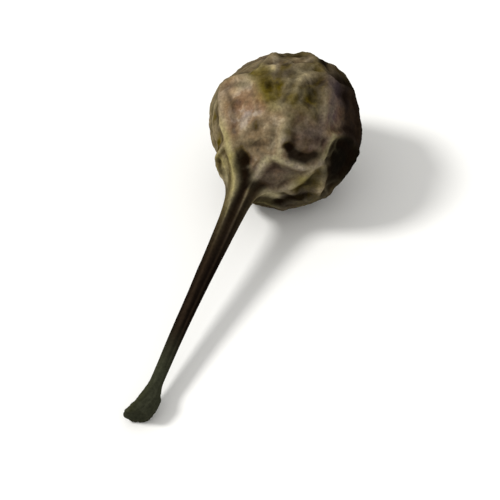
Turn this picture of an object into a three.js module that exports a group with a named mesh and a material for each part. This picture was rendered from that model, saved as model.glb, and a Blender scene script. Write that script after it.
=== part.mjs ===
// A dried cubeb pepper, grown as one piece: a round berry whose base is drawn out into a thin tail.
// Millimetres, +Z up. The origin is the middle of the small flat spot that the berry rests on.
// The tail runs along +X and dips until its foot touches the same surface.

import * as THREE from 'three';
import { mergeVertices } from 'three/addons/utils/BufferGeometryUtils.js';

const { clamp, degToRad, lerp, smoothstep } = THREE.MathUtils;

// The berry, measured on the floors of its hollows. Angles run from the apex, 0, to the tail, 180 degrees.
const BERRY_RADIUS = 2.44;
const BERRY_HALF_LENGTH = 2.58;
const SHOULDER_ANGLE = degToRad(156);
const LUMP_HEIGHT = 0.05;
const LUMP_WAVES = [
  { along: [2.3, 0, 1.9], phase: 0.7 },
  { along: [0, 2.6, -1.4], phase: 1.1 },
];

// Where the berry departs from a ball: flatter down to the tail on one side, fuller above it and behind.
const SWELLS = [
  { angle: 135, turn: 108, reach: 27, height: -0.34 },
  { angle: 78, turn: 68, reach: 28, height: 0.12 },
  { angle: 34, turn: -44, reach: 18, height: 0.24 },
];

// The tail, from the lower end of the berry to the tip of the foot.
const TAIL_LENGTH = 9.6;
const TAIL_ROOT_RADIUS = 0.47;
const TAIL_THIN_RADIUS = 0.185;
const TAIL_ROOT_FADE = 3.8;
const TAIL_OFFSET = 0.54;
const TAIL_OFFSET_START = 3.9;
const TAIL_OFFSET_END = 5.4;
const TAIL_BEND = 0.11;
const TAIL_BEND_START = 5.7;
const TAIL_BEND_END = 11.7;

// The foot, where the fruit let go of its spike: flared, cut on a slant and slightly hollow.
const FOOT_RADIUS = 0.44;
const FOOT_LENGTH = 1.55;
const FOOT_SLANT = 0.3;
const FOOT_LEAN = 0.15;
const FOOT_LEAN_LENGTH = 0.7;
const FOOT_HOLLOW = 0.14;
const FOOT_EDGE = 0.12;
const FOOT_PRESS = 0.04;

// The raised net of the shrunken skin, and the hollows that it frames.
const RIDGE_HEIGHT = 0.18;
const RIDGE_HALF_WIDTH = 0.18;
const HOLLOW_DEPTH = 0.05;
const HOLLOW_REACH = 0.6;
const NET_SWAY = 0.08;
const SWAY_WAVES = [
  { along: [0, 4.9, 6.3], phase: 0.4 },
  { along: [4.6, 0, 5.8], phase: 2.1 },
  { along: [5.2, 6.1, 0], phase: 5.2 },
];
const RIDGE_STRENGTH = 0.8;
const STRENGTH_WAVES = [
  { along: [4.7, 0, 0], phase: 1.3 },
  { along: [0, 5.3, -2.6], phase: 1.6 },
];
const FULL_RELIEF_RADIUS = 1.45;
const LEAST_RELIEF = 0.2;

// The hollows that have a place of their own, by their angle from the apex and their turn about the
// axis: those on the side that is seen, those round the neck and the one at the apex.
// Turns start at the top of the lying berry and grow towards -Y.
const PLACED_HOLLOWS = [
  { angle: 156, turn: 10 },
  { angle: 160, turn: 48 },
  { angle: 152, turn: -57 },
  { angle: 101, turn: 32 },
  { angle: 132, turn: 4 },
  { angle: 122, turn: -38 },
  { angle: 116, turn: -80 },
  { angle: 138, turn: -89 },
  { angle: 116, turn: 72 },
  { angle: 82, turn: 1 },
  { angle: 86, turn: -24 },
  { angle: 79, turn: -53 },
  { angle: 58, turn: 8 },
  { angle: 66, turn: 38 },
  { angle: 153, turn: -114 },
  { angle: 153, turn: -174 },
  { angle: 153, turn: 126 },
  { angle: 0, turn: 0 },
];

// The other hollows lie in rings, each a little off its even place, where they find room.
const HOLLOW_RINGS = [
  { angle: 33, count: 5, start: 30 },
  { angle: 64, count: 8, start: 60 },
  { angle: 94, count: 9, start: 68 },
  { angle: 122, count: 8, start: 112 },
];
const TURN_JITTER = 0.18;
const ANGLE_JITTER = 5;
const LEAST_SPACING = 28;
const JITTER_SEED = 2024;

// Stretches where the skin stayed smooth and the ridge fades, each between two places on the net.
const SMOOTH_STRETCHES = [
  { from: { angle: 130, turn: 34 }, to: { angle: 110, turn: 4 } },
  { from: { angle: 110, turn: 4 }, to: { angle: 108, turn: -4 } },
  { from: { angle: 107, turn: 6 }, to: { angle: 90, turn: 22 } },
  { from: { angle: 142, turn: 28 }, to: { angle: 142, turn: -14 } },
  { from: { angle: 107, turn: -14 }, to: { angle: 104, turn: -42 } },
];
const SMOOTH_REACH = 0.3;
const SMOOTH_SHARE = 0.75;

// What is left of the stigma at the apex: a low scar with lobes round a pit.
const SCAR_RADIUS = 0.5;
const SCAR_HEIGHT = 0.14;
const SCAR_LOBES = 4;
const SCAR_LOBE_DEPTH = 0.2;
const SCAR_PIT_RADIUS = 0.16;

// How deep the lowest ridges are pressed flat where the berry lies.
const FLAT_SPOT_DEPTH = 0.3;

// Mesh steps. A patch between two steps and two sides is two triangles.
const SIDES = 98;
const BERRY_STEPS = 40;
const NECK_LENGTH = 2.2;
const NECK_STEPS = 8;
const TAIL_STEPS = 5;
const FOOT_STEPS = 4;
const PATCH_CORNERS = 6;

const BERRY_LENGTH = 2 * BERRY_HALF_LENGTH;
const FULL_LENGTH = BERRY_LENGTH + TAIL_LENGTH;
const SHOULDER_HEIGHT = BERRY_HALF_LENGTH * (1 - Math.cos(SHOULDER_ANGLE));
const SHOULDER_RADIUS = BERRY_RADIUS * Math.sin(SHOULDER_ANGLE);
const SHOULDER_SLOPE = BERRY_RADIUS / (BERRY_HALF_LENGTH * Math.tan(SHOULDER_ANGLE));
const FOOT_START = FULL_LENGTH - FOOT_LENGTH;
const FOOT_RIM = FULL_LENGTH - FOOT_EDGE;
const CENTRE_HEIGHT = BERRY_RADIUS + RIDGE_HEIGHT - FLAT_SPOT_DEPTH;
const TAIL_DIP = Math.asin((CENTRE_HEIGHT - FOOT_RADIUS + FOOT_PRESS) / (FOOT_RIM - BERRY_HALF_LENGTH));

// Repeatable draws between -1 and 1.
function makeDraw(seed) {
  const modulus = 2147483647;
  const multiplier = 16807;
  let state = seed;
  return () => {
    state = (state * multiplier) % modulus;
    return (2 * state) / modulus - 1;
  };
}

// A unit vector at an angle from the apex and a turn about the axis, with +Z towards the tail.
function direction(angle, turn) {
  const around = Math.sin(angle);
  return new THREE.Vector3(around * Math.cos(turn), around * Math.sin(turn), -Math.cos(angle));
}

// The same, from the angles in degrees of an entry in the lists above.
function placeOf({ angle, turn }) {
  return direction(degToRad(angle), degToRad(turn));
}

const SMOOTH_LINES = SMOOTH_STRETCHES.map(({ from, to }) => new THREE.Line3(placeOf(from), placeOf(to)));

function tailRadius(height) {
  const fromBerry = Math.max(0, height - BERRY_LENGTH);
  const root = (TAIL_ROOT_RADIUS - TAIL_THIN_RADIUS) * Math.exp(-fromBerry / TAIL_ROOT_FADE);
  const flare = (FOOT_RADIUS - TAIL_THIN_RADIUS) * smoothstep(height, FOOT_START, FOOT_RIM);
  return TAIL_THIN_RADIUS + root + flare;
}

// The neck leaves the berry along the berry's own slope and fades into the tail.
function neckRadius(height) {
  const excess = SHOULDER_RADIUS - tailRadius(SHOULDER_HEIGHT);
  const fadeLength = -excess / SHOULDER_SLOPE;
  return tailRadius(height) + excess * Math.exp(-(height - SHOULDER_HEIGHT) / fadeLength);
}

function outline() {
  const points = [];
  for (let i = 0; i <= BERRY_STEPS; i += 1) {
    const angle = (SHOULDER_ANGLE * i) / BERRY_STEPS;
    const height = BERRY_HALF_LENGTH * (1 - Math.cos(angle));
    points.push(new THREE.Vector2(BERRY_RADIUS * Math.sin(angle), height));
  }
  const neckEnd = SHOULDER_HEIGHT + NECK_LENGTH;
  const stretches = [
    [SHOULDER_HEIGHT, neckEnd, NECK_STEPS],
    [neckEnd, FOOT_START, TAIL_STEPS],
    [FOOT_START, FOOT_RIM, FOOT_STEPS],
  ];
  for (const [from, to, steps] of stretches) {
    for (let i = 1; i <= steps; i += 1) {
      const height = lerp(from, to, i / steps);
      points.push(new THREE.Vector2(neckRadius(height), height));
    }
  }
  points.push(new THREE.Vector2(FOOT_RADIUS - FOOT_EDGE, FULL_LENGTH));
  points.push(new THREE.Vector2(FOOT_RADIUS / 2, FULL_LENGTH - 0.7 * FOOT_HOLLOW));
  points.push(new THREE.Vector2(0, FULL_LENGTH - FOOT_HOLLOW));
  return points;
}

// The angle from the apex that a place on the outline stands for in the net. It grows slowly along
// the neck and the tail, so that the hollows there stretch out and the ridges become ribs.
function netAngle(radius, height) {
  if (height <= SHOULDER_HEIGHT) {
    return Math.acos(clamp(1 - height / BERRY_HALF_LENGTH, -1, 1));
  }
  return Math.PI - Math.asin(Math.min(radius / BERRY_RADIUS, 1));
}

function wave({ along, phase }, { x, y, z }) {
  return Math.sin(along[0] * x + along[1] * y + along[2] * z + phase);
}

// Moves a place on the net a little, so that the ridges curve. The ribs near the tail stay straight.
function sway(place) {
  const shift = new THREE.Vector3(...SWAY_WAVES.map((each) => wave(each, place)));
  return place.clone().addScaledVector(shift, NET_SWAY * Math.hypot(place.x, place.y)).normalize();
}

// The placed hollows are swayed like the net, so that each stays where it is meant to be.
function hollowCentres() {
  const draw = makeDraw(JITTER_SEED);
  const centres = PLACED_HOLLOWS.map((each) => sway(placeOf(each)));
  for (const { angle, count, start } of HOLLOW_RINGS) {
    for (let i = 0; i < count; i += 1) {
      const turn = start + (360 / count) * (i + TURN_JITTER * draw());
      const centre = placeOf({ angle: angle + ANGLE_JITTER * draw(), turn });
      if (centres.every((other) => centre.angleTo(other) > degToRad(LEAST_SPACING))) {
        centres.push(centre);
      }
    }
  }
  return centres;
}

// Distance to the nearest line that lies midway between two hollows, in millimetres on the berry.
function distanceToNet(place, centres) {
  const nearest = centres.reduce((best, centre) => (centre.dot(place) > best.dot(place) ? centre : best));
  const across = new THREE.Vector3();
  let least = Infinity;
  for (const centre of centres) {
    if (centre !== nearest) {
      across.subVectors(nearest, centre);
      least = Math.min(least, across.dot(place) / across.length());
    }
  }
  return least * BERRY_RADIUS;
}

// The share of a ridge that is left at a place on the net, least along the smooth stretches.
function ridgeShare(place) {
  const closest = new THREE.Vector3();
  return SMOOTH_LINES.reduce((share, line) => {
    const gap = line.closestPointToPoint(place, true, closest).distanceTo(place) * BERRY_RADIUS;
    return share * (1 - SMOOTH_SHARE * Math.exp(-((gap / SMOOTH_REACH) ** 2)));
  }, 1);
}

function netHeight(place, scale, centres) {
  const distance = distanceToNet(sway(place), centres) / scale;
  const swell = wave(STRENGTH_WAVES[0], place) * wave(STRENGTH_WAVES[1], place);
  const strength = (RIDGE_STRENGTH + (1 - RIDGE_STRENGTH) * swell) * ridgeShare(place);
  const ridge = Math.exp(-((distance / RIDGE_HALF_WIDTH) ** 2));
  const hollow = smoothstep(distance, 0, HOLLOW_REACH);
  return RIDGE_HEIGHT * strength * ridge - HOLLOW_DEPTH * hollow;
}

function lumpHeight(place) {
  return LUMP_HEIGHT * wave(LUMP_WAVES[0], place) * wave(LUMP_WAVES[1], place);
}

function swellHeight(place) {
  return SWELLS.reduce((sum, swell) => {
    const apart = placeOf(swell).angleTo(place) / degToRad(swell.reach);
    return sum + swell.height * Math.exp(-(apart ** 2));
  }, 0);
}

function scarHeight(radius, turn) {
  const reach = SCAR_RADIUS * (1 + SCAR_LOBE_DEPTH * Math.cos(SCAR_LOBES * turn));
  const plateau = 1 - smoothstep(radius, reach / 2, reach);
  const pit = Math.exp(-((radius / SCAR_PIT_RADIUS) ** 2));
  return SCAR_HEIGHT * (plateau - pit);
}

// How far the skin stands out from the smooth outline at a place on it. The relief is finer on the tail.
function reliefAt({ x, y: height, z }, centres) {
  const radius = Math.hypot(x, z);
  const turn = Math.atan2(x, z);
  const place = direction(netAngle(radius, height), turn);
  const onUpperHalf = height < BERRY_HALF_LENGTH;
  const scale = onUpperHalf ? 1 : clamp(radius / FULL_RELIEF_RADIUS, LEAST_RELIEF, 1);
  const scar = onUpperHalf ? scarHeight(radius, turn) : 0;
  return scale * (netHeight(place, scale, centres) + lumpHeight(place) + swellHeight(place)) + scar;
}

// The tail grows out of the berry a little to one side, bends further that way, and its foot leans out.
function sideShift(height) {
  const leave = TAIL_OFFSET * smoothstep(height, TAIL_OFFSET_START, TAIL_OFFSET_END);
  const bend = TAIL_BEND * smoothstep(height, TAIL_BEND_START, TAIL_BEND_END);
  return leave + bend + FOOT_LEAN * smoothstep(height, FULL_LENGTH - FOOT_LEAN_LENGTH, FULL_LENGTH);
}

// Splits each four-sided patch along the diagonal that lies closer to the relief in its middle,
// so that the edges of the triangles follow the ridges.
function splitAlongRidges(geometry, relief, centres) {
  const { position } = geometry.attributes;
  const corner = new THREE.Vector3();
  const index = geometry.index.array;
  for (let i = 0; i < index.length; i += PATCH_CORNERS) {
    const [a, b, d, c] = index.subarray(i, i + PATCH_CORNERS);
    const middle = new THREE.Vector3();
    [a, b, c, d].forEach((k) => middle.addScaledVector(corner.fromBufferAttribute(position, k), 0.25));
    const wanted = 2 * reliefAt(middle, centres);
    if (Math.abs(relief[a] + relief[c] - wanted) < Math.abs(relief[b] + relief[d] - wanted)) {
      index.set([a, b, c, a, c, d], i);
    }
  }
}

// Shapes the smooth turned body: adds the relief, slants the foot and shifts the tail to its side.
function shapeSkin(geometry) {
  const { position, normal } = geometry.attributes;
  const centres = hollowCentres();
  const places = [];
  for (let i = 0; i < position.count; i += 1) {
    places.push(new THREE.Vector3().fromBufferAttribute(position, i));
  }
  const relief = places.map((place) => reliefAt(place, centres));
  splitAlongRidges(geometry, relief, centres);
  const point = new THREE.Vector3();
  const outward = new THREE.Vector3();
  places.forEach((place, i) => {
    outward.fromBufferAttribute(normal, i);
    point.copy(place).addScaledVector(outward, relief[i]);
    point.y += FOOT_SLANT * smoothstep(place.y, FOOT_START, FOOT_RIM) * point.x;
    point.x += sideShift(place.y);
    position.setXYZ(i, point.x, point.y, point.z);
  });
}

// Lays the body down: its top at +Z, its sideways shift at -Y, its tail at +X with the dip.
function layDown(geometry) {
  const alongTail = new THREE.Vector3(Math.cos(TAIL_DIP), 0, -Math.sin(TAIL_DIP));
  const upward = new THREE.Vector3(Math.sin(TAIL_DIP), 0, Math.cos(TAIL_DIP));
  const sideways = new THREE.Vector3(0, -1, 0);
  geometry.translate(0, -BERRY_HALF_LENGTH, 0);
  geometry.applyMatrix4(new THREE.Matrix4().makeBasis(sideways, alongTail, upward));
  geometry.translate(0, 0, CENTRE_HEIGHT);
}

// Presses everything that would reach below the ground flat against it.
function pressFlat(geometry) {
  const { position } = geometry.attributes;
  for (let i = 0; i < position.count; i += 1) {
    position.setZ(i, Math.max(0, position.getZ(i)));
  }
}

function cubebGeometry() {
  const turned = new THREE.LatheGeometry(outline(), SIDES);
  turned.deleteAttribute('normal');
  turned.deleteAttribute('uv');
  const geometry = mergeVertices(turned);
  geometry.computeVertexNormals();
  shapeSkin(geometry);
  layDown(geometry);
  pressFlat(geometry);
  geometry.computeVertexNormals();
  return geometry;
}

const driedSkin = new THREE.MeshStandardMaterial({ color: 0x4b4135, roughness: 0.72, metalness: 0 });
const cubeb = new THREE.Mesh(cubebGeometry(), driedSkin);
cubeb.name = 'cubeb';

const model = new THREE.Group();
model.add(cubeb);

export default model;
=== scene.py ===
"""The looks of a dried cubeb pepper: its wrinkled skin, its woody tail and the pale floor it lies on.

The body is turned about the Z axis in millimetres, apex down, and then laid down with its tail towards +X.
A place on it is an angle from the apex and a turn about the axis, and so a unit vector on a sphere.
"""

import logging
import math
from collections.abc import Callable, Iterable, Iterator
from dataclasses import dataclass, field
from enum import Enum

import bmesh
import bpy
import numpy as np
from mathutils import Matrix, Vector, noise


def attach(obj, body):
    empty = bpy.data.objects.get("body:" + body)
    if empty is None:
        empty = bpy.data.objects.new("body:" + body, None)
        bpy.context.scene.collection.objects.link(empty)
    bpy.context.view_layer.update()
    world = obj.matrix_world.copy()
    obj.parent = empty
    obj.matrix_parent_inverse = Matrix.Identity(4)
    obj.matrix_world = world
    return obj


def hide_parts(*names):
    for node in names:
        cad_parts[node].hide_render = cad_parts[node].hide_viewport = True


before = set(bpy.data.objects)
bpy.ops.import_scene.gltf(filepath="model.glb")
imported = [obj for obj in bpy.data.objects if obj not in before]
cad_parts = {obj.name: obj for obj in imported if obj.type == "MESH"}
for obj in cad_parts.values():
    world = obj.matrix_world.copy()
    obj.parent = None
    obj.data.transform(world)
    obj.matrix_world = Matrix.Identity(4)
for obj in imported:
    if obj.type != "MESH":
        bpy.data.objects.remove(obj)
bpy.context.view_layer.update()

MM = 0.001
LOG = logging.getLogger("cubeb")

# In millimetres. A length between two places on the net is measured on a ball of this radius.
BERRY_RADIUS = 2.44

# Rough noise: each octave has half the size and half the height of the one before.
OCTAVE_FALL = 1.0
OCTAVE_STEP = 2.0

# A new colour ramp holds two stops, so steps and tones list the two ends first.
RAMP_ENDS = 2

# The colour sockets of a Mix node, which has others of the same names for numbers and vectors.
UNDER = 6
OVER = 7
MIXED = 2

Socket = bpy.types.NodeSocket
Tones = tuple[str, ...]


class Skin(Enum):
    """What the skin's point attributes tell the finish, one number for each point of the mesh.

    A crest is the bare top of a ridge, and a crease the dark line of painted shade beside it and at the
    neck.
    Tone runs from near black to pale and olive from brown to olive. Gold, rose and mauve are tints, and
    shade is painted shade on the side away from the light.
    """

    CREST = "crest"
    WRINKLE = "wrinkle"
    CREASE = "crease_shade"
    TONE = "tone"
    OLIVE = "olive"
    GOLD = "gold"
    ROSE = "rose"
    MAUVE = "mauve"
    SHADE = "shade"
    TAIL = "tail"
    FOOT = "foot"


def smoothstep(value: np.ndarray, low: float, high: float) -> np.ndarray:
    """Rises smoothly from 0 at low to 1 at high."""
    share = np.clip((value - low) / (high - low), 0.0, 1.0)
    return share * share * (3.0 - 2.0 * share)


def bell(distance: np.ndarray, reach: float) -> np.ndarray:
    """Falls smoothly from 1 at no distance to about a third at the reach, and on to 0."""
    return np.exp(-((distance / reach) ** 2))


def directions(angle: np.ndarray | float, turn: np.ndarray | float) -> np.ndarray:
    """Unit vectors at an angle from the apex and a turn about the axis, in radians, +Z towards the tail."""
    around = np.sin(angle)
    return np.stack((around * np.cos(turn), around * np.sin(turn), -np.cos(angle)), axis=-1)


def degrees_from(centre: tuple[float, float], places: np.ndarray) -> np.ndarray:
    """How far places lie from a centre given as angle and turn, all in degrees."""
    nearness = np.clip(places @ directions(*np.radians(centre)), -1, 1)
    return np.degrees(np.arccos(nearness))


def draws(seed: int) -> Iterator[float]:
    """Repeatable numbers between -1 and 1.

    Args:
        seed: Where the sequence starts.

    Yields:
        The next number.
    """
    modulus = 2147483647
    multiplier = 16807
    state = seed
    while True:
        state = state * multiplier % modulus
        yield 2.0 * state / modulus - 1.0


def sample(points: np.ndarray, measure: Callable[[Vector], float]) -> np.ndarray:
    """Measures a pattern at many points, one row of three numbers each."""
    return np.array([measure(Vector(point)) for point in points])


def rough_noise(points: np.ndarray, octaves: int) -> np.ndarray:
    """Measures rough noise at many points, with bumps about 1 apart and finer ones in each octave."""
    return sample(points, lambda point: noise.fractal(point, OCTAVE_FALL, OCTAVE_STEP, octaves))


@dataclass(frozen=True)
class Wave:
    """A sine wave that runs through the sphere of directions."""

    along: tuple[float, float, float]
    phase: float

    def at(self, places: np.ndarray) -> np.ndarray:
        """The wave's height at each place."""
        return np.sin(places @ np.array(self.along) + self.phase)


@dataclass(frozen=True)
class Swell:
    """A broad rise of the berry about a place, or a flat side where its height is negative.

    The height is in millimetres. The angle from the apex, the turn and the reach are in degrees.
    """

    angle: float
    turn: float
    reach: float
    height: float

    def at(self, places: np.ndarray) -> np.ndarray:
        """The rise at each place, in millimetres."""
        return self.height * bell(degrees_from((self.angle, self.turn), places), self.reach)


@dataclass(frozen=True)
class Stroke:
    """A straight mark on the skin between two places, each an angle from the apex and a turn in degrees.

    It fades to both sides over its reach, in millimetres.
    """

    start: tuple[float, float]
    end: tuple[float, float]
    strength: float
    reach: float = 0.2

    def at(self, places: np.ndarray) -> np.ndarray:
        """How strongly it marks each place.

        Args:
            places: One unit vector for each place.

        Returns:
            One number for each place.
        """
        start, end = directions(*np.radians(np.array((self.start, self.end)).T))
        along = end - start
        share = np.clip((places - start) @ along / (along @ along), 0, 1)
        gap = np.linalg.norm(places - start - share[:, None] * along, axis=1) * BERRY_RADIUS
        return self.strength * bell(gap, self.reach)


@dataclass(frozen=True)
class PlacedHollow:
    """A hollow with a place of its own, in degrees, and how pale and how olive its skin is, from 0 to 1."""

    angle: float
    turn: float
    tone: float
    olive: float = 0.4


@dataclass(frozen=True)
class HollowRing:
    """A ring of hollows round the berry's axis, in degrees."""

    angle: float
    count: int
    start: float


@dataclass
class RaisedNet:
    """The coarse net of ridges that the skin forms as it shrinks. Lengths are in millimetres."""

    ridge_height: float = 0.18
    ridge_half_width: float = 0.18
    hollow_depth: float = 0.05
    hollow_reach: float = 0.6
    sway: float = 0.08
    ridge_strength: float = 0.8
    turn_jitter: float = 0.18
    angle_jitter: float = 5.0
    least_spacing: float = 28.0
    ring_tone: float = 0.22
    ring_tone_spread: float = 0.2
    ring_olive: float = 0.4
    tone_blend: float = 0.02
    seed: int = 2024
    placed_hollows: tuple[PlacedHollow, ...] = (
        PlacedHollow(156, 10, tone=0.1, olive=0.2),
        PlacedHollow(160, 48, tone=0.25, olive=0.6),
        PlacedHollow(152, -57, tone=0.54, olive=0.15),
        PlacedHollow(101, 32, tone=0.78, olive=0.05),
        PlacedHollow(132, 4, tone=0.84, olive=0.55),
        PlacedHollow(122, -38, tone=0.42, olive=0.2),
        PlacedHollow(116, -80, tone=0.02, olive=0.4),
        PlacedHollow(138, -89, tone=0.24, olive=1),
        PlacedHollow(116, 72, tone=0.75, olive=0.9),
        PlacedHollow(82, 1, tone=0.48, olive=1),
        PlacedHollow(86, -24, tone=0.41, olive=0.9),
        PlacedHollow(79, -53, tone=0.7, olive=0),
        PlacedHollow(58, 8, tone=0.26, olive=0.6),
        PlacedHollow(66, 38, tone=0.55, olive=0.7),
        PlacedHollow(153, -114, tone=0.1),
        PlacedHollow(153, -174, tone=0.1),
        PlacedHollow(153, 126, tone=0.2),
        PlacedHollow(0, 0, tone=0.2),
    )
    rings: tuple[HollowRing, ...] = (
        HollowRing(angle=33, count=5, start=30),
        HollowRing(angle=64, count=8, start=60),
        HollowRing(angle=94, count=9, start=68),
        HollowRing(angle=122, count=8, start=112),
    )
    sway_waves: tuple[Wave, ...] = (
        Wave((0, 4.9, 6.3), 0.4),
        Wave((4.6, 0, 5.8), 2.1),
        Wave((5.2, 6.1, 0), 5.2),
    )
    strength_waves: tuple[Wave, ...] = (Wave((4.7, 0, 0), 1.3), Wave((0, 5.3, -2.6), 1.6))
    smooth_stretches: tuple[Stroke, ...] = (
        Stroke((130, 34), (110, 4), reach=0.3, strength=0.75),
        Stroke((110, 4), (108, -4), reach=0.3, strength=0.75),
        Stroke((107, 6), (90, 22), reach=0.3, strength=0.75),
        Stroke((142, 28), (142, -14), reach=0.3, strength=0.75),
        Stroke((107, -14), (104, -42), reach=0.3, strength=0.75),
    )

    def hollows(self) -> tuple[np.ndarray, np.ndarray]:
        """All hollows: the placed ones, then those of the rings where they find room.

        Returns:
            One unit vector for each hollow, and its tone and olive share.
        """
        draw = draws(self.seed)
        places = np.radians([(placed.angle, placed.turn) for placed in self.placed_hollows])
        found = list(self.swayed(directions(places[:, 0], places[:, 1])))
        tones = [(placed.tone, placed.olive) for placed in self.placed_hollows]
        for ring in self.rings:
            for i in range(ring.count):
                turn = ring.start + 360 / ring.count * (i + self.turn_jitter * next(draw))
                swing = next(draw)
                centre = directions(*np.radians((ring.angle + self.angle_jitter * swing, turn)))
                nearest = max(float(centre @ other) for other in found)
                if nearest < math.cos(math.radians(self.least_spacing)):
                    found.append(centre)
                    tones.append((self.ring_tone + self.ring_tone_spread * swing, self.ring_olive))
        return np.array(found), np.array(tones)

    def swayed(self, places: np.ndarray) -> np.ndarray:
        """Moves places a little, so that the ridges curve, and keeps the ribs near the tail straight.

        Args:
            places: One unit vector for each place.

        Returns:
            The unit vectors of the moved places.
        """
        shift = np.stack([wave.at(places) for wave in self.sway_waves], axis=-1)
        reach = self.sway * np.hypot(places[:, 0], places[:, 1])
        moved = places + shift * reach[:, None]
        return moved / np.linalg.norm(moved, axis=1, keepdims=True)

    def strength(self, places: np.ndarray) -> np.ndarray:
        """How high the ridges stand: it swells along them, and fades along the smooth stretches.

        Args:
            places: One unit vector for each place.

        Returns:
            One share of the full height for each place.
        """
        swell = self.strength_waves[0].at(places) * self.strength_waves[1].at(places)
        left = np.prod([1 - stretch.at(places) for stretch in self.smooth_stretches], axis=0)
        return (self.ridge_strength + (1 - self.ridge_strength) * swell) * left

    def read(self, places: np.ndarray) -> tuple[np.ndarray, np.ndarray]:
        """How far each place is from the nearest line midway between two hollows, and its tone.

        Args:
            places: One unit vector for each place.

        Returns:
            Distances in millimetres, and rows of tone and olive share that blend across the lines.
        """
        centres, tones = self.hollows()
        near = self.swayed(places) @ centres.T
        best = near.argmax(axis=1)
        gap = near[np.arange(len(places)), best][:, None] - near
        apart = np.linalg.norm(centres[best][:, None] - centres[None], axis=2)
        apart[apart == 0] = np.inf
        lines = np.where(np.isinf(apart), np.inf, gap / apart)
        weight = np.exp(-gap / self.tone_blend)
        return lines.min(axis=1) * BERRY_RADIUS, weight @ tones / weight.sum(axis=1, keepdims=True)


@dataclass(frozen=True)
class BodyPoints:
    """What is known of each point of the smooth turned body, with lengths in millimetres.

    Scale is the share of the relief that it gets, distance how far it is from the middle of a ridge, and
    foot how far the foot has flared there.
    """

    smooth: np.ndarray
    radius: np.ndarray
    turn: np.ndarray
    height: np.ndarray
    net_angle: np.ndarray
    places: np.ndarray
    scale: np.ndarray
    distance: np.ndarray
    tones: np.ndarray
    strength: np.ndarray
    ridge: np.ndarray
    wrinkle: np.ndarray
    grain: np.ndarray
    foot: np.ndarray


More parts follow.
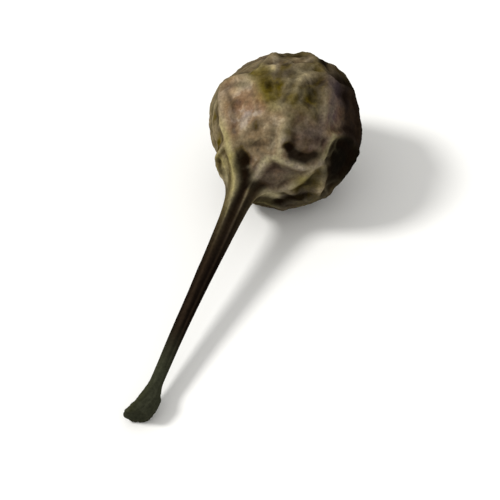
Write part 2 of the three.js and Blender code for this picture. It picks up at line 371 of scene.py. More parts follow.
@dataclass
class SkinMarks:
    """Where the skin dried pale, dark or tinted, where painted shade and a painted shadow darken it, and
    where its tones change along the tail.

    Lengths are in millimetres, and those along the tail are heights above the apex. Angles are in degrees.
    """

    # Painted shade in the creases at both sides of a ridge, and at the neck where the ribs run into the
    # tail.
    crease_shade_from_ridge: float = 0.27
    crease_shade_width: float = 0.15
    neck_shade_start: float = 144
    neck_shade_end: float = 166
    neck_shade: float = 0.72
    # Dark where the strength is negative, pale where it is positive. The first three are a painted shadow
    # that a ridge casts into the hollow beside it.
    stains_and_painted_shadows: tuple[Stroke, ...] = (
        Stroke((129, -24), (132, -39), reach=0.13, strength=-0.8),
        Stroke((132, -38), (131, -48), reach=0.13, strength=-0.75),
        Stroke((130, -46), (123, -52), reach=0.15, strength=-0.6),
        Stroke((112, -20), (121, -26), reach=0.15, strength=0.1),
        Stroke((141, 18), (150, 14), strength=-0.4),
        Stroke((150, 14), (167, -4), reach=0.19, strength=-0.8),
        Stroke((60, -2), (80, -12), reach=0.3, strength=0.4),
        Stroke((71, 8), (68, 3), reach=0.15, strength=-0.3),
        Stroke((94, -9), (97, -12), strength=-0.2),
        Stroke((72, -28), (68, -30), strength=-0.3),
        Stroke((91, 36), (88, 27), reach=0.22, strength=0.35),
        Stroke((100, 38), (103, 33), strength=-0.25),
        Stroke((110, 34), (119, 35), strength=0.12),
        Stroke((148, -6), (156, -9), reach=0.16, strength=0.6),
        Stroke((133, -26), (135, -31), reach=0.12, strength=0.3),
        Stroke((136, 8), (134, -2), reach=0.18, strength=-0.3),
        Stroke((88, 10), (85, 7), reach=0.24, strength=-0.35),
        Stroke((81, -20), (88, -27), strength=-0.4),
        Stroke((127, -80), (130, -100), reach=0.19, strength=0.8),
        Stroke((136, -72), (136, -84), reach=0.15, strength=-0.45),
        Stroke((119, 11.5), (123, 11), reach=0.13, strength=-0.5),
        Stroke((149, -128), (143, -109), reach=0.22, strength=-0.6),
        Stroke((66, -45), (68, -59), strength=-0.4),
        Stroke((128, 68), (134, 66), strength=-0.5),
        Stroke((114, 24), (127, 24), strength=0.25),
        Stroke((92, 50), (86, 42), reach=0.25, strength=0.1),
        Stroke((102, 56), (110, 54), reach=0.18, strength=-0.25),
        Stroke((106, 68), (111, 74), reach=0.22, strength=-0.45),
        Stroke((126, 35), (131, 28), reach=0.14, strength=-0.3),
        Stroke((98, 42), (92, 47), reach=0.17, strength=0.7),
        Stroke((104, 2), (104, -3), reach=0.15, strength=0.35),
        Stroke((84, 26), (81, 28), reach=0.15, strength=-0.3),
        Stroke((120, -16), (120, -19), reach=0.15, strength=-0.25),
        Stroke((118, -38), (113, -47), reach=0.17, strength=-0.25),
        Stroke((163, -64), (163, -70), reach=0.13, strength=-0.35),
        Stroke((146, -102), (143, -108), reach=0.15, strength=-0.5),
        Stroke((80, 9), (83, 8), reach=0.12, strength=0.3),
        Stroke((84, -10), (84, -13), reach=0.13, strength=-0.3),
        Stroke((59, 18), (73, 12), reach=0.17, strength=0.9),
        Stroke((36, -25), (48, -23), reach=0.17, strength=-0.6),
        Stroke((51, -8), (45, -9), reach=0.17, strength=0.6),
        Stroke((51, 2), (44, 4), reach=0.15, strength=0.4),
        Stroke((128, 4), (126, 0), reach=0.15, strength=-0.2),
        Stroke((65, -40), (68, -43), reach=0.15, strength=-0.3),
        Stroke((168.5, -14), (169.5, -36), reach=0.1, strength=0.3),
        Stroke((174, -10), (180, 0), strength=0.3),
        Stroke((73, -17), (70, -19), reach=0.17, strength=0.4),
        Stroke((165, -42), (168, -50), reach=0.17, strength=-0.4),
    )
    # Where the skin is more olive than its hollow, or tinted gold, rose or mauve.
    olives: tuple[Stroke, ...] = (
        Stroke((79, 24), (86, 12), reach=0.3, strength=0.6),
        Stroke((109, -16), (123, -20), strength=0.6),
        Stroke((95, 45), (105, 50), reach=0.4, strength=0.4),
        Stroke((114, -56), (118, -50), reach=0.3, strength=-0.4),
        Stroke((89, 37), (89, 30), reach=0.25, strength=0.5),
    )
    golds: tuple[Stroke, ...] = (
        Stroke((119, 51), (129, 44), reach=0.22, strength=0.4),
        Stroke((133, 41), (145, 35), reach=0.22, strength=0.35),
        Stroke((150, 34), (168, 30), reach=0.22, strength=0.45),
        Stroke((126, 64), (150, 60), reach=0.25, strength=0.5),
        Stroke((80, 20), (98, 10), reach=0.3, strength=0.9),
        Stroke((98, 2), (106, 0), strength=0.3),
        Stroke((138, -70), (133, -88), strength=0.6),
    )
    roses: tuple[Stroke, ...] = (
        Stroke((88, 46), (108, 42), reach=0.3, strength=0.8),
        Stroke((100, 28), (104, 24), reach=0.3, strength=0.4),
    )
    mauves: tuple[Stroke, ...] = (
        Stroke((62, -35), (90, -48), reach=0.3, strength=0.55),
        Stroke((90, -39), (106, -42), reach=0.25, strength=0.35),
    )
    # Stretches of ridge that are bare and pale all along, also in a stain, under the painted shadow or in
    # the painted shade.
    cords: tuple[Stroke, ...] = (
        Stroke((119, 51), (130.5, 43), reach=0.22, strength=1.0),
        Stroke((130.5, 43), (145, 34), reach=0.23, strength=0.95),
        Stroke((145, 34), (160, 33), reach=0.23, strength=0.95),
        Stroke((160, 33), (168, 24), strength=0.95),
        Stroke((168, 24), (173, 8), reach=0.1, strength=0.75),
        Stroke((160, -28), (152, -21), strength=0.9),
        Stroke((152, -21), (143, -18), reach=0.19, strength=0.95),
        Stroke((140, -24), (134.5, -56), reach=0.16, strength=1.0),
        Stroke((135, -56), (127, -63), reach=0.15, strength=0.85),
        Stroke((158, -92), (146, -78), reach=0.17, strength=0.85),
        Stroke((146, -78), (130, -62), reach=0.17, strength=0.85),
        Stroke((162, -90), (156, -110), reach=0.28, strength=1.0),
        Stroke((127, -63), (103, -55), reach=0.18, strength=0.9),
        Stroke((149, 57), (162, 74), reach=0.35, strength=0.85),
    )
    # In a stain or the painted shadow of full_wear or more, a crest loses this share of its paleness.
    stain_and_shadow_wear: float = 0.85
    full_wear: float = 0.5
    # The palest crests stand about the bright place. Past the lit reach the skin gets painted shade, which
    # lessens to the far shade beyond the deep shade's reach. Each reach is where a change begins and ends.
    bright_place: tuple[float, float] = (150, 5)
    bright_reach: tuple[float, float] = (30, 85)
    least_bright: float = 0.55
    lit_place: tuple[float, float] = (112, 15)
    lit_reach: tuple[float, float] = (62, 84)
    deep_shade_place: tuple[float, float] = (83, -70)
    deep_shade_reach: tuple[float, float] = (36, 58)
    far_shade: float = 0.1
    # The tail darkens from the berry down, later on its ribs and later on its lit side, which is painted
    # light.
    # A share of the berry's tone is left over until the tail has its full tone.
    tail_tone_start: float = 4.7
    tail_tone_end: float = 5.8
    tail_full_tone: float = 8.5
    tail_left_over: float = 0.35
    tail_tone_delay: float = 0.8
    tail_lit_turn: float = 80
    tail_side_delay: float = 1.5
    foot_tone_start: float = 10.9
    foot_tone_end: float = 13.2

    @staticmethod
    def away(places: np.ndarray, centre: tuple[float, float], reach: tuple[float, float]) -> np.ndarray:
        """From 0 at places within the first reach of a centre to 1 at those beyond the second."""
        return smoothstep(degrees_from(centre, places), *reach)

    def tail_tone(self, points: BodyPoints) -> np.ndarray:
        """How far the tail's dark tone has taken over.

        Args:
            points: The points of the turned body.

        Returns:
            One share for each point.
        """
        # The lit side keeps the berry's paler tone longer: painted light.
        lit_side = np.clip(np.cos(points.turn - math.radians(self.tail_lit_turn)), 0, 1)
        delayed = points.height - self.tail_tone_delay * points.ridge - self.tail_side_delay * lit_side
        taken = smoothstep(points.height, self.tail_tone_end, self.tail_full_tone)
        left_over = self.tail_left_over * (1 - taken)
        return smoothstep(delayed, self.tail_tone_start, self.tail_tone_end) * (1 - left_over)

    def looks(self, points: BodyPoints) -> dict[Skin, np.ndarray]:
        """What the finish needs to know of each point.

        Args:
            points: The points of the turned body.

        Returns:
            One number for each point, under each of the skin's attributes.
        """
        places = points.places
        stain_and_shadow, olive, gold, rose, mauve = (
            sum(stroke.at(places) for stroke in strokes)
            for strokes in (self.stains_and_painted_shadows, self.olives, self.golds, self.roses, self.mauves)
        )
        cord = np.max([stroke.at(places) for stroke in self.cords], axis=0)
        kept = 1 - self.stain_and_shadow_wear * np.clip(-stain_and_shadow / self.full_wear, 0, 1)
        bright = 1 - (1 - self.least_bright) * self.away(places, self.bright_place, self.bright_reach)
        crest = np.maximum(points.ridge * points.strength * bright * kept, cord)
        # Painted shade in the creases beside the ridges and at the neck.
        beside = bell(points.distance - self.crease_shade_from_ridge, self.crease_shade_width)
        neck = smoothstep(np.degrees(points.net_angle), self.neck_shade_start, self.neck_shade_end)
        crease_shade = np.maximum(beside * points.strength, self.neck_shade * neck) * (1 - crest)
        # Painted shade on the side away from the light, strongest about the deep shade's place and weaker
        # elsewhere.
        shade_depth = 1 - (1 - self.far_shade) * self.away(places, self.deep_shade_place, self.deep_shade_reach)
        shade = self.away(places, self.lit_place, self.lit_reach) * shade_depth * (1 - cord)
        return {
            Skin.CREST: crest,
            Skin.WRINKLE: points.wrinkle * kept,
            Skin.CREASE: crease_shade,
            Skin.TONE: points.tones[:, 0] + stain_and_shadow,
            Skin.OLIVE: points.tones[:, 1] + olive,
            Skin.GOLD: gold,
            Skin.ROSE: rose,
            Skin.MAUVE: mauve,
            Skin.SHADE: shade,
            Skin.TAIL: self.tail_tone(points),
            Skin.FOOT: smoothstep(points.height, self.foot_tone_start, self.foot_tone_end),
        }


@dataclass
class Cubeb:
    """The whole cubeb, one grown piece. Its body has the construction's own sizes, in millimetres."""

    name: str = "cubeb_skin"
    node: str = "cubeb"
    # The berry, round down to its shoulder, and the tail, which thins from its root.
    berry_radius: float = BERRY_RADIUS
    berry_half_length: float = 2.58
    shoulder_angle: float = math.radians(156)
    lump_height: float = 0.05
    tail_length: float = 9.6
    tail_root_radius: float = 0.47
    tail_thin_radius: float = 0.185
    tail_root_fade: float = 3.8
    # How far the tail leaves the axis and bends, and at which heights above the apex.
    tail_offset: float = 0.54
    tail_offset_start: float = 3.9
    tail_offset_end: float = 5.4
    tail_bend: float = 0.11
    tail_bend_start: float = 5.7
    tail_bend_end: float = 11.7
    # The flared foot: it leans, is cut on a slant, is slightly hollow, and presses on the floor.
    foot_radius: float = 0.44
    foot_length: float = 1.55
    foot_slant: float = 0.3
    foot_lean: float = 0.15
    foot_lean_length: float = 0.7
    foot_hollow: float = 0.14
    foot_edge: float = 0.12
    foot_press: float = 0.04
    # Where the neck is thinner than this, the relief lessens with it, down to the least share.
    full_relief_radius: float = 1.45
    least_relief: float = 0.2
    # The scar at the apex, with its flat part as a share of its radius.
    scar_radius: float = 0.5
    scar_flat_share: float = 0.5
    scar_height: float = 0.14
    scar_lobes: int = 4
    scar_lobe_depth: float = 0.2
    scar_pit_radius: float = 0.16
    flat_spot_depth: float = 0.3
    # The mesh: sides round the axis, and steps along the berry, neck, tail, foot and the foot's end.
    sides: int = 320
    steps: tuple[int, int, int, int, int] = (166, 44, 48, 24, 10)
    neck_length: float = 2.2
    merge_distance: float = 1e-5
    # Fine wrinkles, which bend by a share of their size and are weaker on a ridge, and a finer grain. Both
    # are stretched along the tail. The foot is rough where it broke off.
    wrinkle_size: float = 0.62
    wrinkle_height: float = 0.06
    wrinkle_width: float = 0.16
    wrinkle_bend: float = 0.35
    wrinkle_bend_pace: float = 1.3
    ridge_smoothing: float = 0.6
    grain_size: float = 0.2
    grain_height: float = 0.02
    grain_octaves: int = 3
    tail_stretch: float = 5.0
    foot_rough_size: float = 0.16
    foot_rough_height: float = 0.05
    foot_rough_octaves: int = 2
    net: RaisedNet = field(default_factory=RaisedNet)
    marks: SkinMarks = field(default_factory=SkinMarks)
    lump_waves: tuple[Wave, ...] = (Wave((2.3, 0, 1.9), 0.7), Wave((0, 2.6, -1.4), 1.1))
    swells: tuple[Swell, ...] = (
        Swell(135, 108, reach=27, height=-0.34),
        Swell(78, 68, reach=28, height=0.12),
        Swell(34, -44, reach=18, height=0.24),
    )

    def __post_init__(self) -> None:
        """Works out the lengths that the driving sizes give."""
        self.berry_length = 2 * self.berry_half_length
        self.full_length = self.berry_length + self.tail_length
        self.shoulder_height = self.berry_half_length * (1 - math.cos(self.shoulder_angle))
        slope = self.berry_radius / (self.berry_half_length * math.tan(self.shoulder_angle))
        self.foot_start = self.full_length - self.foot_length
        self.foot_rim = self.full_length - self.foot_edge
        shoulder_radius = self.berry_radius * math.sin(self.shoulder_angle)
        self.excess = shoulder_radius - float(self.tail_radius(np.array(self.shoulder_height)))
        self.fade_length = -self.excess / slope
        self.centre_height = self.berry_radius + self.net.ridge_height - self.flat_spot_depth
        drop = self.centre_height - self.foot_radius + self.foot_press
        self.dip = math.asin(drop / (self.foot_rim - self.berry_half_length))

    def tail_radius(self, height: np.ndarray) -> np.ndarray:
        """The tail's radius, the flared foot included.

        Args:
            height: Heights above the apex.

        Returns:
            One radius for each height.
        """
        thin = self.tail_thin_radius
        from_berry = np.maximum(0.0, height - self.berry_length)
        root = (self.tail_root_radius - thin) * np.exp(-from_berry / self.tail_root_fade)
        flare = (self.foot_radius - thin) * smoothstep(height, self.foot_start, self.foot_rim)
        return thin + root + flare

    def neck_radius(self, height: np.ndarray) -> np.ndarray:
        """The radius below the shoulder: the neck leaves the berry's slope and fades into the tail."""
        fade = np.exp(-(height - self.shoulder_height) / self.fade_length)
        return self.tail_radius(height) + self.excess * fade

    def outline(self) -> np.ndarray:
        """The smooth outline from the apex to the middle of the foot's end.

        Returns:
            One row of radius and height for each point.
        """
        berry, neck, tail, foot, end = self.steps
        angle = np.linspace(0, self.shoulder_angle, berry + 1)
        upper = (np.sin(angle) * self.berry_radius, (1 - np.cos(angle)) * self.berry_half_length)
        neck_end = self.shoulder_height + self.neck_length
        stops = (self.shoulder_height, neck_end, self.foot_start, self.foot_rim)
        stretches = zip(stops, stops[1:], (neck, tail, foot))
        heights = np.concatenate([np.linspace(low, high, count + 1)[1:] for low, high, count in stretches])
        lower = (self.neck_radius(heights), heights)
        quarter = np.linspace(0, math.pi / 2, end // 2 + 1)[1:]
        rim = self.foot_radius - self.foot_edge
        edge = (rim + self.foot_edge * np.cos(quarter), self.foot_rim + self.foot_edge * np.sin(quarter))
        share = np.linspace(1, 0, end // 2 + 1)[1:]
        face = (rim * share, self.full_length - self.foot_hollow * (1 - share**2))
        return np.concatenate((upper, lower, edge, face), axis=1).T

    def turned_body(self) -> bpy.types.Mesh:
        """Spins the outline round the axis.

        Returns:
            A smooth closed body in millimetres, apex down.
        """
        outline = self.outline()
        body = bmesh.new()
        ends = (body.verts.new((0, 0, 0)), body.verts.new((0, 0, 1)))
        bmesh.ops.subdivide_edges(body, edges=[body.edges.new(ends)], cuts=len(outline) - 2)
        for vertex in body.verts:
            radius, height = outline[round(vertex.co.z * (len(outline) - 1))]
            vertex.co = (radius, 0, height)
        bmesh.ops.spin(
            body,
            geom=body.verts[:] + body.edges[:],
            cent=(0, 0, 0),
            axis=(0, 0, 1),
            angle=math.tau,
            steps=self.sides,
            use_merge=True,
        )
        bmesh.ops.remove_doubles(body, verts=body.verts, dist=self.merge_distance)
        bmesh.ops.recalc_face_normals(body, faces=body.faces)
        mesh = bpy.data.meshes.new(self.name)
        body.to_mesh(mesh)
        body.free()
        return mesh

    def net_angle(self, radius: np.ndarray, height: np.ndarray) -> np.ndarray:
        """The angle from the apex that a point has in the net, so that ridges run on as ribs on the tail.

        Args:
            radius: How far the points are from the axis.
            height: How far they are above the apex.

        Returns:
            One angle in radians for each point.
        """
        upper = np.arccos(np.clip(1 - height / self.berry_half_length, -1, 1))
        lower = math.pi - np.arcsin(np.minimum(radius / self.berry_radius, 1))
        return np.where(height <= self.shoulder_height, upper, lower)

    def scar(self, radius: np.ndarray, turn: np.ndarray) -> np.ndarray:
        """The height of the stigma scar at the apex: a low lobed plateau round a pit.

        Args:
            radius: How far the points are from the axis.
            turn: Their turns about the axis, in radians.

        Returns:
            One height for each point.
        """
        reach = self.scar_radius * (1 + self.scar_lobe_depth * np.cos(self.scar_lobes * turn))
        plateau = 1 - smoothstep(radius / reach, self.scar_flat_share, 1)
        return self.scar_height * (plateau - bell(radius, self.scar_pit_radius))

    def side_shift(self, height: np.ndarray) -> np.ndarray:
        """How far the axis has moved to its side.

        Args:
            height: Heights above the apex.

        Returns:
            One length for each height.
        """
        shifts = (
            (self.tail_offset, self.tail_offset_start, self.tail_offset_end),
            (self.tail_bend, self.tail_bend_start, self.tail_bend_end),
            (self.foot_lean, self.full_length - self.foot_lean_length, self.full_length),
        )
        return sum(length * smoothstep(height, start, end) for length, start, end in shifts)

    def resting_place(self) -> Matrix:
        """Works out how the body lies on its flat spot and its foot, its tail towards +X.

        Returns:
            The turn and move that bring the upright body there.
        """
        along = Vector((math.cos(self.dip), 0, -math.sin(self.dip)))
        upward = Vector((math.sin(self.dip), 0, math.cos(self.dip)))
        turn = Matrix((upward, Vector((0, -1, 0)), along)).transposed().to_4x4()
        back = Matrix.Translation((0, 0, -self.berry_half_length))
        return Matrix.Translation((0, 0, self.centre_height)) @ turn @ back

    def survey(self, smooth: np.ndarray) -> BodyPoints:
        """Finds where the points of the turned body lie, and what the net and the wrinkles do there.

        Args:
            smooth: One row of three numbers for each point.

        Returns:
            All that the relief and the looks are worked out from.
        """
        radius = np.hypot(smooth[:, 0], smooth[:, 1])
        turn = np.arctan2(smooth[:, 1], smooth[:, 0])
        height = smooth[:, 2]
        drawn = smooth.copy()
        past_shoulder = height - self.shoulder_height
        shortened = self.shoulder_height + past_shoulder / self.tail_stretch
        drawn[:, 2] = np.where(past_shoulder > 0, shortened, height)
        lessened = np.clip(radius / self.full_relief_radius, self.least_relief, 1)
        scale = np.where(height < self.berry_half_length, 1.0, lessened)
        net_angle = self.net_angle(radius, height)
        places = directions(net_angle, turn)
        distance, tones = self.net.read(places)
        distance /= scale
        return BodyPoints(
            smooth=smooth,
            radius=radius,
            turn=turn,
            height=height,
            net_angle=net_angle,
            places=places,
            scale=scale,
            distance=distance,
            tones=tones,
            strength=self.net.strength(places),
            ridge=bell(distance, self.net.ridge_half_width),
            wrinkle=self.wrinkles(drawn),
            grain=rough_noise(drawn / self.grain_size, self.grain_octaves),
            foot=smoothstep(height, self.foot_start, self.foot_rim),
        )

    def wrinkles(self, drawn: np.ndarray) -> np.ndarray:
        """The finer creases between the ridges: raised lines that meet, from 0 to 1.

        Args:
            drawn: Points on the smooth body, drawn together along the tail.

        Returns:
            One number for each point.
        """

        def from_line(place: Vector) -> float:
            """How much farther the second nearest cell's middle is than the nearest one's."""
            near, far = noise.voronoi(place)[0][:2]
            return far - near

        straight = drawn / self.wrinkle_size
        shift = sample(straight, lambda place: noise.noise(place * self.wrinkle_bend_pace))
        bent = straight + shift[:, None] * self.wrinkle_bend
        return bell(sample(bent, from_line) * self.wrinkle_size, self.wrinkle_width)

    def relief(self, points: BodyPoints) -> np.ndarray:
        """How far the skin rises from the smooth body: in ridges, swells, the scar, wrinkles and grain.

        Args:
            points: The points of the turned body.

        Returns:
            One length for each point, negative where the skin has sunk.
        """
        net, places = self.net, points.places
        hollow = smoothstep(points.distance, 0, net.hollow_reach)
        lumps = self.lump_height * self.lump_waves[0].at(places) * self.lump_waves[1].at(places)
        lumps += sum(swell.at(places) for swell in self.swells)
        coarse = net.ridge_height * points.strength * points.ridge - net.hollow_depth * hollow + lumps
        relief = points.scale * coarse
        upper_half = points.height < self.berry_half_length
        relief += np.where(upper_half, self.scar(points.radius, points.turn), 0.0)
        wrinkle = self.wrinkle_height * points.wrinkle * (1 - self.ridge_smoothing * points.ridge)
        relief += points.scale * (wrinkle + self.grain_height * points.grain)
        rough = rough_noise(points.smooth / self.foot_rough_size, self.foot_rough_octaves)
        relief += self.foot_rough_height * points.foot * rough
        return relief

    def laid_down(self, points: BodyPoints, outward: np.ndarray) -> np.ndarray:
        """Raises the relief, bends the tail, slants the foot and lays the body on the floor.

        Args:
            points: The points of the turned body.
            outward: The normal at each point.

        Returns:
            Where each point comes to lie, in millimetres.
        """
        moved = points.smooth + outward * self.relief(points)[:, None]
        moved[:, 2] += self.foot_slant * points.foot * moved[:, 1]
        moved[:, 1] += self.side_shift(points.height)
        laid = self.resting_place()
        moved = moved @ np.array(laid.to_3x3()).T + np.array(laid.translation)
        moved[:, 2] = np.maximum(moved[:, 2], 0.0)
        return moved

    def build(self) -> bpy.types.Object:
        """Builds the cubeb, in place of the construction's solid.

        Returns:
            The finished piece.
        """
        mesh = self.turned_body()
        points = self.survey(np.array([vertex.co for vertex in mesh.vertices]))
        laid = self.laid_down(points, np.array([normal.vector for normal in mesh.vertex_normals]))
        mesh.vertices.foreach_set("co", (laid * MM).ravel())
        mesh.update()
        for skin, values in self.marks.looks(points).items():
            mesh.attributes.new(skin.value, "FLOAT", "POINT").data.foreach_set("value", values)
        mesh.shade_smooth()
        mesh.materials.append(DriedFruitSkin().material())
        piece = in_scene(self.name, mesh)
        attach(piece, "root")
        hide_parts(self.node)
        return piece


def in_scene(name: str, data: bpy.types.ID) -> bpy.types.Object:
    """Makes an object of a mesh, a light or a camera, and links it to the scene.

    Args:
        name: The object's name.
        data: The mesh, light or camera.

    Returns:
        The new object.
    """
    made = bpy.data.objects.new(name, data)
    bpy.context.scene.collection.objects.link(made)
    return made


def linear(tone: str) -> tuple[float, float, float, float]:
    """Turns an sRGB hex colour into the linear colour that a shader takes, by that standard's curve.

    Args:
        tone: The colour as #rrggbb.

    Returns:
        Red, green, blue and an alpha of 1.
    """
    values = [int(tone[i : i + 2], 16) / 255 for i in (1, 3, 5)]
    red, green, blue = (v / 12.92 if v <= 0.04045 else ((v + 0.055) / 1.055) ** 2.4 for v in values)
    return red, green, blue, 1.0


def per_mm(size: float) -> float:
    """The pattern scale on Object coordinates, in metres, that gives features of a size in millimetres."""
    return 1 / (size * MM)


def add_node(
    tree: bpy.types.NodeTree,
    kind: str,
    inputs: dict[str | int, object] | None = None,
    stops: Iterable[tuple[float, str]] = (),
    **settings: object,
) -> bpy.types.Node:
    """Adds a shader node with its settings and links.

    Args:
        tree: The material's node tree.
        kind: The node's type.
        inputs: Input name or number to the value it holds or the output that feeds it.
        stops: Position and colour of each stop, for a colour ramp.
        settings: The node's other properties.

    Returns:
        The new node.
    """
    node = tree.nodes.new(kind)
    for key, value in settings.items():
        setattr(node, key, value)
    for key, value in (inputs or {}).items():
        if isinstance(value, Socket):
            tree.links.new(value, node.inputs[key])
        else:
            node.inputs[key].default_value = value
    for i, (position, tone) in enumerate(stops):
        ramp = node.color_ramp.elements
        stop = ramp[i] if i < RAMP_ENDS else ramp.new(position)
        stop.position = position
        stop.color = linear(tone)
    return node


def new_material(name: str, roughness: float, specular: float) -> tuple[bpy.types.Material, bpy.types.Node]:
    """Starts a material.

    Args:
        name: The material's name.
        roughness: From 0 polished to 1 matt.
        specular: How much it reflects besides its colour.

    Returns:
        The material and its shader, without a colour.
    """
    material = bpy.data.materials.new(name)
    material.use_nodes = True
    shader = material.node_tree.nodes["Principled BSDF"]
    shader.inputs["Roughness"].default_value = roughness
    shader.inputs["Specular IOR Level"].default_value = specular
    return material, shader


@dataclass(frozen=True)
class DriedFruitSkin:
    """The dried skin of a pepper fruit, shrunk on its seed as it dried in the sun.

    The eye sees a dull, brittle skin: olive-tan ridges, dark brown hollows, a grey bloom, and a tail that
    dried almost black.
    """

    # The colours at each step of a hollow's tone and of the crests' patches.
    tone_steps: tuple[float, ...] = (0.0, 1.0, 0.15, 0.32, 0.5, 0.72, 0.86)
    hollow_tones: Tones = ("#150c07", "#9b8b7f", "#2a1d14", "#402f27", "#51413a", "#6c533e", "#836a55")
    olive_tones: Tones = ("#191304", "#9c8d68", "#2e2604", "#4e420a", "#574c30", "#6b6046", "#7a6f53")
    crest_steps: tuple[float, ...] = (0.38, 0.64, 0.5)
    crest_tones: Tones = ("#7b724f", "#7f7367", "#93896b")
    # The crests' colours in painted shade.
    shaded_crest_tones: Tones = ("#0c0a07", "#231f1b", "#14120f")
    # The painted shade on the side away from the light.
    shaded_tone: str = "#0d0b08"
    # The painted shade in the creases.
    crease_shade_tone: str = "#130b06"
    tail_tone: str = "#100b08"
    tail_rib_tone: str = "#2c2219"
    foot_tone: str = "#313226"
    mauve_tone: str = "#52464a"
    gold_tint: str = "#fffbb3"
    rose_tint: str = "#ffeeda"
    # Sizes of the patterns in millimetres, and how far the patches and mottles swing the tone.
    patch_size: float = 0.9
    mottle_size: float = 0.28
    crest_patch_size: float = 1.6
    speck_size: float = 0.09
    bump_size: float = 0.07
    bump_depth: float = 0.012
    pattern_roughness: float = 0.6
    pattern_middle: float = 0.5
    patch_swing: float = 0.9
    mottle_swing: float = 0.6
    # Specks between these two values darken or brighten the skin by these two factors.
    speck_range: tuple[float, float] = (0.3, 0.7)
    speck_shade: tuple[float, float] = (0.75, 1.25)
    wrinkle_share: float = 0.2
    # The share of painted shade laid in the creases.
    crease_shade_share: float = 0.8
    # The share of painted shade laid on the side away from the light.
    shade_share: float = 0.85
    crest_power: float = 2.0
    roughness: float = 0.6
    specular: float = 0.0

    def patterns(self, tree: bpy.types.NodeTree) -> list[Socket]:
        """Adds the skin's noise patterns, each with its own seed, size and detail.

        Args:
            tree: The material's node tree.

        Returns:
            The patches, the mottles, the crests' patches, the specks and the fine relief.
        """
        coords = add_node(tree, "ShaderNodeTexCoord").outputs["Object"]
        settings = {"Vector": coords, "Roughness": self.pattern_roughness}
        return [
            add_node(
                tree,
                "ShaderNodeTexNoise",
                settings | {"W": seed, "Scale": per_mm(size), "Detail": detail},
                noise_dimensions="4D",
            ).outputs["Fac"]
            for seed, size, detail in (
                (0.0, self.patch_size, 3.0),
                (5.4, self.mottle_size, 3.0),
                (7.3, self.crest_patch_size, 4.0),
                (2.1, self.speck_size, 2.0),
                (4.6, self.bump_size, 3.0),
            )
        ]

    def skin_colour(self, tree: bpy.types.NodeTree, patterns: list[Socket]) -> Socket:
        """Colours the hollows by their tone, lays all else over them, and tints the whole.

        Args:
            tree: The material's node tree.
            patterns: The patches, the mottles and the crests' patches.

        Returns:
            The colour, but for the specks.
        """
        patches, mottles, crest_patches = patterns
        skin = {
            each: add_node(tree, "ShaderNodeAttribute", attribute_name=each.value).outputs["Fac"]
            for each in Skin
        }
        tone = skin[Skin.TONE]
        for pattern, swing in ((patches, self.patch_swing), (mottles, self.mottle_swing)):
            centred = add_node(
                tree, "ShaderNodeMath", {0: pattern, 1: self.pattern_middle}, operation="SUBTRACT"
            ).outputs[0]
            tone = add_node(
                tree, "ShaderNodeMath", {0: centred, 1: swing, 2: tone}, operation="MULTIPLY_ADD"
            ).outputs[0]
        brown, olive, crest, shaded_crest = (
            add_node(tree, "ShaderNodeValToRGB", {"Fac": pattern}, zip(steps, tones)).outputs["Color"]
            for pattern, steps, tones in (
                (tone, self.tone_steps, self.hollow_tones),
                (tone, self.tone_steps, self.olive_tones),
                (crest_patches, self.crest_steps, self.crest_tones),
                (crest_patches, self.crest_steps, self.shaded_crest_tones),
            )
        )
        wrinkle, crease_shade, shade = (
            add_node(tree, "ShaderNodeMath", {0: skin[each], 1: share}, operation="MULTIPLY").outputs[0]
            for each, share in (
                (Skin.WRINKLE, self.wrinkle_share),
                (Skin.CREASE, self.crease_shade_share),
                (Skin.SHADE, self.shade_share),
            )
        )
        narrow = add_node(
            tree, "ShaderNodeMath", {0: skin[Skin.CREST], 1: self.crest_power}, operation="POWER"
        ).outputs[0]
        raised = add_node(tree, "ShaderNodeMath", {0: narrow, 1: wrinkle}, operation="MAXIMUM").outputs[0]
        # The crests' colour takes its painted shade on the side away from the light.
        colour, crest_colour, tail_colour = (
            add_node(
                tree, "ShaderNodeMix", {"Factor": share, UNDER: low, OVER: high}, data_type="RGBA"
            ).outputs[MIXED]
            for share, low, high in (
                (skin[Skin.OLIVE], brown, olive),
                (skin[Skin.SHADE], crest, shaded_crest),
                (skin[Skin.CREST], linear(self.tail_tone), linear(self.tail_rib_tone)),
            )
        )
        # The first two layers are painted shade: on the side away from the light, and in the creases.
        for share, over, blend in (
            (shade, linear(self.shaded_tone), "MIX"),
            (crease_shade, linear(self.crease_shade_tone), "MIX"),
            (skin[Skin.MAUVE], linear(self.mauve_tone), "MIX"),
            (raised, crest_colour, "MIX"),
            (skin[Skin.TAIL], tail_colour, "MIX"),
            (skin[Skin.FOOT], linear(self.foot_tone), "MIX"),
            (skin[Skin.GOLD], linear(self.gold_tint), "MULTIPLY"),
            (skin[Skin.ROSE], linear(self.rose_tint), "MULTIPLY"),
        ):
            colour = add_node(
                tree,
                "ShaderNodeMix",
                {"Factor": share, UNDER: colour, OVER: over},
                data_type="RGBA",
                blend_type=blend,
            ).outputs[MIXED]
        return colour

    def material(self) -> bpy.types.Material:
        """Builds the material.

        Returns:
            The finished material.
        """
        material, shader = new_material("dried_pepper_skin", self.roughness, self.specular)
        tree = material.node_tree
        *coarse, specks, relief = self.patterns(tree)
        first, last = self.speck_range
        low, high = self.speck_shade
        shades = add_node(
            tree,
            "ShaderNodeMapRange",
            {"Value": specks, "From Min": first, "From Max": last, "To Min": low, "To Max": high},
        )
        speckled = add_node(
            tree,
            "ShaderNodeMix",
            {"Factor": 1.0, UNDER: self.skin_colour(tree, coarse), OVER: shades.outputs[0]},
            data_type="RGBA",
            blend_type="MULTIPLY",
        )
        bump = add_node(
            tree, "ShaderNodeBump", {"Height": relief, "Distance": self.bump_depth * MM, "Strength": 1.0}
        )
        tree.links.new(speckled.outputs[MIXED], shader.inputs["Base Color"])
        tree.links.new(bump.outputs["Normal"], shader.inputs["Normal"])
        return material


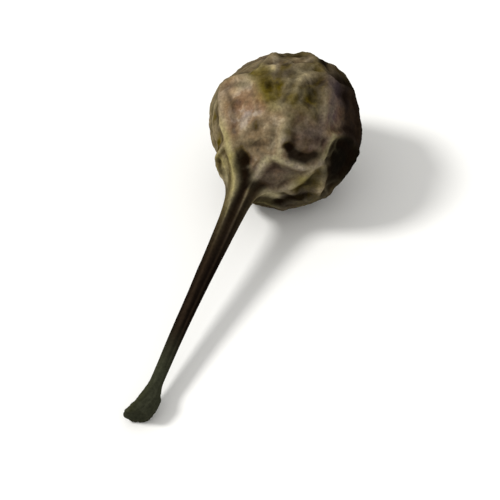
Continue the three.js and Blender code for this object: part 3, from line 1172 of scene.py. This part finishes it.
@dataclass(frozen=True)
class MattPaper:
    """White matt paper, calendered smooth: an even pale ground with no gloss."""

    tone: str = "#f1f0ec"
    roughness: float = 0.9
    specular: float = 0.2

    def material(self) -> bpy.types.Material:
        """Builds the material.

        Returns:
            The finished material.
        """
        material, shader = new_material("matt_paper", self.roughness, self.specular)
        shader.inputs["Base Color"].default_value = linear(self.tone)
        return material


@dataclass
class Studio:
    """The pale floor, the soft light and the camera, in metres and degrees, its sensor in millimetres."""

    floor_radius: float = 1.2
    floor_drop: float = 0.00001
    floor_sides: int = 96
    camera_azimuth: float = 110
    camera_elevation: float = 47
    camera_distance: float = 0.25
    view_height: float = 0.0166
    aim: tuple[float, float, float] = (0.0045, 0.0004, 0.0012)
    near_clip: float = 0.025
    far_clip: float = 10.0
    sensor: float = 36
    key_azimuth: float = 20
    key_elevation: float = 47
    key_energy: float = 2.4
    key_angle: float = 14
    surround_tone: str = "#ffffff"
    surround_strength: float = 0.74

    @staticmethod
    def towards(azimuth: float, elevation: float) -> Vector:
        """The unit vector from the object to a viewer or a light at that azimuth and elevation."""
        a, e = math.radians(azimuth), math.radians(elevation)
        return Vector((math.sin(a) * math.cos(e), -math.cos(a) * math.cos(e), math.sin(e)))

    def add_floor(self) -> bpy.types.Object:
        """Lays a large pale disc just under the cubeb.

        Returns:
            The floor.
        """
        disc = bmesh.new()
        bmesh.ops.create_circle(disc, cap_ends=True, radius=self.floor_radius, segments=self.floor_sides)
        bmesh.ops.translate(disc, verts=disc.verts, vec=(0, 0, -self.floor_drop))
        mesh = bpy.data.meshes.new("floor")
        disc.to_mesh(mesh)
        disc.free()
        mesh.materials.append(MattPaper().material())
        floor = in_scene("floor", mesh)
        return floor

    def add_light(self) -> None:
        """Adds the soft key light from the upper left and an even pale surround."""
        data = bpy.data.lights.new("key", "SUN")
        data.energy = self.key_energy
        data.angle = math.radians(self.key_angle)
        back = self.towards(self.key_azimuth, self.key_elevation)
        in_scene("key", data).rotation_euler = back.to_track_quat("Z", "Y").to_euler()
        world = bpy.data.worlds.new("surround")
        world.use_nodes = True
        background = world.node_tree.nodes["Background"]
        background.inputs["Color"].default_value = linear(self.surround_tone)
        background.inputs["Strength"].default_value = self.surround_strength
        bpy.context.scene.world = world

    def add_camera(self) -> None:
        """Sets the camera at the photograph's viewing angle, with a long lens."""
        data = bpy.data.cameras.new("camera")
        data.sensor_width = self.sensor
        data.lens = self.sensor * self.camera_distance / self.view_height
        data.clip_start = self.near_clip
        data.clip_end = self.far_clip
        camera = in_scene("camera", data)
        back = self.towards(self.camera_azimuth, self.camera_elevation)
        camera.location = Vector(self.aim) + back * self.camera_distance
        camera.rotation_euler = back.to_track_quat("Z", "Y").to_euler()
        bpy.context.scene.camera = camera

    def build(self) -> bpy.types.Object:
        """Builds the floor, the light and the camera, and shows all tones as they are.

        Returns:
            The floor.
        """
        floor = self.add_floor()
        self.add_light()
        self.add_camera()
        bpy.context.scene.view_settings.view_transform = "Standard"
        return floor


def main() -> None:
    """Builds the studio and the cubeb, and reports what was made."""
    logging.basicConfig(level=logging.INFO, format="%(name)s: %(message)s")
    for piece in (Studio().build(), Cubeb().build()):
        LOG.info("%s: %d faces", piece.name, len(piece.data.polygons))


if __name__ == "__main__":
    main()
